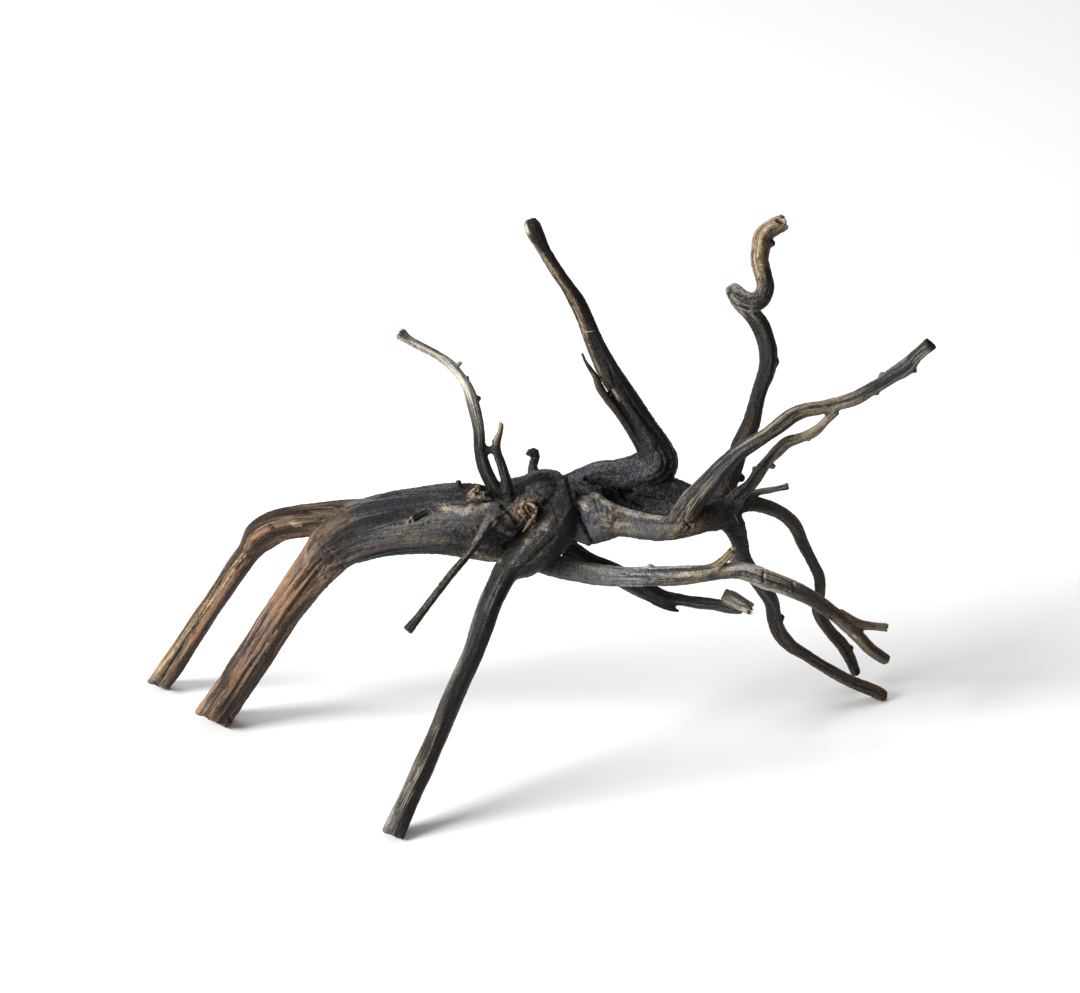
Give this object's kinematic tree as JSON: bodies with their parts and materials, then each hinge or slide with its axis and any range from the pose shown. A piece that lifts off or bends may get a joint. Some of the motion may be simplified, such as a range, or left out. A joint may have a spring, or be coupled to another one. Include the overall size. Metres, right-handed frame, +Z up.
{
  "type": "black driftwood root",
  "caption": "Dark driftwood root that stands on sawn legs and a drooping root tip, with bare branching roots rising and arching from its trunk.",
  "frame": {"origin": "middle of the bounding box at the surface that the root stands on", "axes": "+Z up, +X from the sawn legs' end to the forked end, +Y away from the front leg"},
  "size_m": [0.4053, 0.1774, 0.2639],
  "materials": {
    "wood": "dark weathered bare wood, dull"
  },
  "bodies": {
    "root": {"driftwood_root": "wood"}
  },
  "joints": []
}
